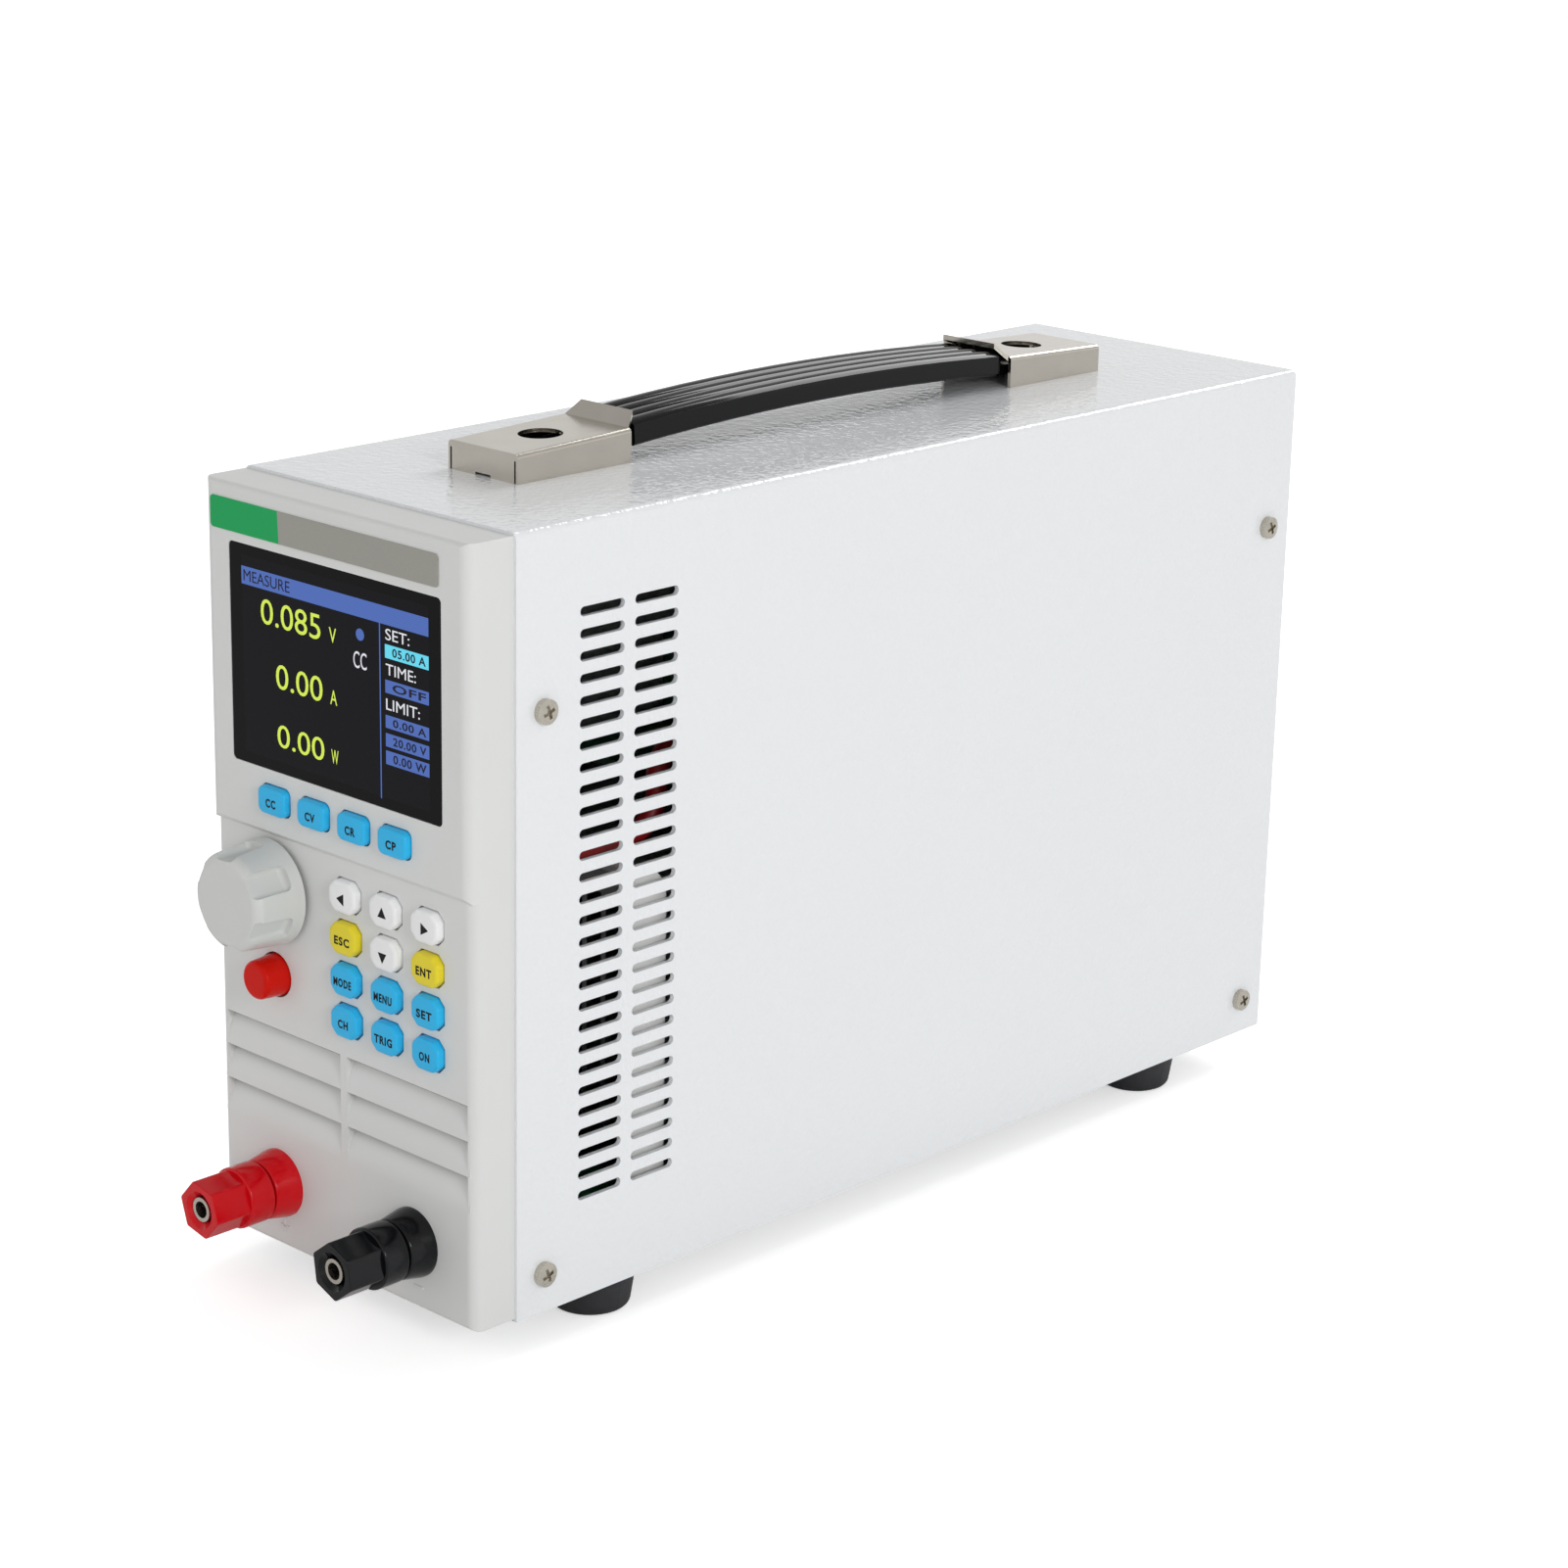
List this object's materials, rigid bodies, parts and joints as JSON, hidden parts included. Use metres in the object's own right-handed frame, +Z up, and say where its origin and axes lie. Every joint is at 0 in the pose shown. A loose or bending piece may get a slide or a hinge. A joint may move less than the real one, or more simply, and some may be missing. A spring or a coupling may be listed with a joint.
{
  "type": "dc electronic load",
  "caption": "Tall bench electronic load: steel case with side vents, carrying strap, display, keypad, encoder knob, louvres, screw-down binding posts and a rear fan.",
  "frame": {"origin": "on the plane of the foot soles, under the middle of the overall width and depth", "axes": "+Z up, the front panel faces -Y, +X to the right of someone facing the front panel"},
  "size_m": [0.0938, 0.31, 0.2015],
  "materials": {
    "case_paint": "gloss orange-peel enamel",
    "zinc_steel": "zinc plated sheet",
    "bezel_plastic": "fine satin moulding",
    "window_black": "polished",
    "display_grey": "satin",
    "board_green": "solder resist",
    "part_black": "satin",
    "knob_grey": "satin",
    "button_red": "smooth",
    "key_blue": "satin",
    "key_yellow": "satin",
    "key_white": "satin",
    "post_red": "smooth",
    "post_black": "smooth",
    "nickel": "bright nickel plate",
    "insert_brass": "machined",
    "strap_black": "satin",
    "cap_nickel": "satin nickel plate",
    "screw_steel": "bright zinc",
    "foot_rubber": "matt",
    "guard_chrome": "bright wire",
    "sink_aluminium": "extruded",
    "duct_white": "plain sheet",
    "core_steel": "varnished laminations",
    "lead_red": "insulated wire",
    "lead_black": "insulated wire",
    "selector_red": "smooth"
  },
  "bodies": {
    "case": {"top_cover": "case_paint", "chassis_tray": "zinc_steel", "front_frame": "zinc_steel", "rear_panel": "case_paint", "front_bezel": "bezel_plastic", "window_lens": "window_black", "lcd_module": "display_grey", "front_board": "board_green", "key_switches": "part_black", "encoder": "zinc_steel", "power_switch": "part_black", "post_base_red": "post_red", "post_base_black": "post_black", "post_studs": "nickel", "handle_strap": "strap_black", "handle_ends": "cap_nickel", "handle_screws": "screw_steel", "feet": "foot_rubber", "foot_screws": "screw_steel", "cover_screws": "screw_steel", "fan_frame": "part_black", "fan_guard": "guard_chrome", "inlet_socket": "part_black", "panel_screws": "screw_steel", "serial_port": "nickel", "selector_body": "part_black", "heatsink": "sink_aluminium", "mosfets": "part_black", "air_duct": "duct_white", "input_board": "board_green", "main_board": "board_green", "transformer": "core_steel", "load_lead_red": "lead_red", "load_lead_black": "lead_black"},
    "key_cc": {"key_cc": "key_blue"},
    "key_cv": {"key_cv": "key_blue"},
    "key_cr": {"key_cr": "key_blue"},
    "key_cp": {"key_cp": "key_blue"},
    "key_left": {"key_left": "key_white"},
    "key_up": {"key_up": "key_white"},
    "key_right": {"key_right": "key_white"},
    "key_down": {"key_down": "key_white"},
    "key_escape": {"key_escape": "key_yellow"},
    "key_enter": {"key_enter": "key_yellow"},
    "key_mode": {"key_mode": "key_blue"},
    "key_menu": {"key_menu": "key_blue"},
    "key_set": {"key_set": "key_blue"},
    "key_channel": {"key_channel": "key_blue"},
    "key_trigger": {"key_trigger": "key_blue"},
    "key_on": {"key_on": "key_blue"},
    "knob": {"knob": "knob_grey", "encoder_shaft": "nickel"},
    "power_button": {"power_button": "button_red"},
    "post_insert_red": {"post_insert_red": "insert_brass"},
    "post_cap_red": {"post_cap_red": "post_red"},
    "post_insert_black": {"post_insert_black": "insert_brass"},
    "post_cap_black": {"post_cap_black": "post_black"},
    "fan_rotor": {"fan_rotor": "part_black"},
    "fuse_drawer": {"fuse_drawer": "part_black"},
    "selector_slider": {"selector_slider": "selector_red"}
  },
  "joints": [
    {"name": "key_cc_press", "type": "slide", "parent": "case", "child": "key_cc", "axis": [0, 1, 0], "range_m": [0, 0.0008], "stiffness_N_per_m": 1200},
    {"name": "key_cv_press", "type": "slide", "parent": "case", "child": "key_cv", "axis": [0, 1, 0], "range_m": [0, 0.0008], "stiffness_N_per_m": 1200},
    {"name": "key_cr_press", "type": "slide", "parent": "case", "child": "key_cr", "axis": [0, 1, 0], "range_m": [0, 0.0008], "stiffness_N_per_m": 1200},
    {"name": "key_cp_press", "type": "slide", "parent": "case", "child": "key_cp", "axis": [0, 1, 0], "range_m": [0, 0.0008], "stiffness_N_per_m": 1200},
    {"name": "key_left_press", "type": "slide", "parent": "case", "child": "key_left", "axis": [0, 1, 0], "range_m": [0, 0.0008], "stiffness_N_per_m": 1200},
    {"name": "key_up_press", "type": "slide", "parent": "case", "child": "key_up", "axis": [0, 1, 0], "range_m": [0, 0.0008], "stiffness_N_per_m": 1200},
    {"name": "key_right_press", "type": "slide", "parent": "case", "child": "key_right", "axis": [0, 1, 0], "range_m": [0, 0.0008], "stiffness_N_per_m": 1200},
    {"name": "key_down_press", "type": "slide", "parent": "case", "child": "key_down", "axis": [0, 1, 0], "range_m": [0, 0.0008], "stiffness_N_per_m": 1200},
    {"name": "key_escape_press", "type": "slide", "parent": "case", "child": "key_escape", "axis": [0, 1, 0], "range_m": [0, 0.0008], "stiffness_N_per_m": 1200},
    {"name": "key_enter_press", "type": "slide", "parent": "case", "child": "key_enter", "axis": [0, 1, 0], "range_m": [0, 0.0008], "stiffness_N_per_m": 1200},
    {"name": "key_mode_press", "type": "slide", "parent": "case", "child": "key_mode", "axis": [0, 1, 0], "range_m": [0, 0.0008], "stiffness_N_per_m": 1200},
    {"name": "key_menu_press", "type": "slide", "parent": "case", "child": "key_menu", "axis": [0, 1, 0], "range_m": [0, 0.0008], "stiffness_N_per_m": 1200},
    {"name": "key_set_press", "type": "slide", "parent": "case", "child": "key_set", "axis": [0, 1, 0], "range_m": [0, 0.0008], "stiffness_N_per_m": 1200},
    {"name": "key_channel_press", "type": "slide", "parent": "case", "child": "key_channel", "axis": [0, 1, 0], "range_m": [0, 0.0008], "stiffness_N_per_m": 1200},
    {"name": "key_trigger_press", "type": "slide", "parent": "case", "child": "key_trigger", "axis": [0, 1, 0], "range_m": [0, 0.0008], "stiffness_N_per_m": 1200},
    {"name": "key_on_press", "type": "slide", "parent": "case", "child": "key_on", "axis": [0, 1, 0], "range_m": [0, 0.0008], "stiffness_N_per_m": 1200},
    {"name": "knob_turn", "type": "hinge", "parent": "case", "child": "knob", "pos_m": [-0.0234, -0.1325, 0.0967], "axis": [0, -1, 0], "continuous": true},
    {"name": "power_button_press", "type": "slide", "parent": "case", "child": "power_button", "axis": [0, 1, 0], "range_m": [0, 0.0025], "stiffness_N_per_m": 800},
    {"name": "post_red_slide", "type": "slide", "parent": "case", "child": "post_insert_red", "axis": [0, -1, 0], "range_m": [0, 0.006]},
    {"name": "post_red_turn", "type": "hinge", "parent": "post_insert_red", "child": "post_cap_red", "pos_m": [-0.0234, -0.1445, 0.025], "axis": [0, -1, 0], "range_deg": [0, 2160]},
    {"name": "post_black_slide", "type": "slide", "parent": "case", "child": "post_insert_black", "axis": [0, -1, 0], "range_m": [0, 0.006]},
    {"name": "post_black_turn", "type": "hinge", "parent": "post_insert_black", "child": "post_cap_black", "pos_m": [0.0234, -0.1445, 0.025], "axis": [0, -1, 0], "range_deg": [0, 2160]},
    {"name": "fan_spin", "type": "hinge", "parent": "case", "child": "fan_rotor", "pos_m": [0, 0.1325, 0.0566], "axis": [0, 1, 0], "continuous": true},
    {"name": "fuse_drawer_slide", "type": "slide", "parent": "case", "child": "fuse_drawer", "axis": [0, 1, 0], "range_m": [0, 0.016]},
    {"name": "selector_slide", "type": "slide", "parent": "case", "child": "selector_slider", "axis": [0, 0, 1], "range_m": [0, 0.005]}
  ],
  "couplings": [
    {"joint": "post_red_turn", "follows": "post_red_slide", "rad_per_m": 6283.2},
    {"joint": "post_black_turn", "follows": "post_black_slide", "rad_per_m": 6283.2}
  ]
}
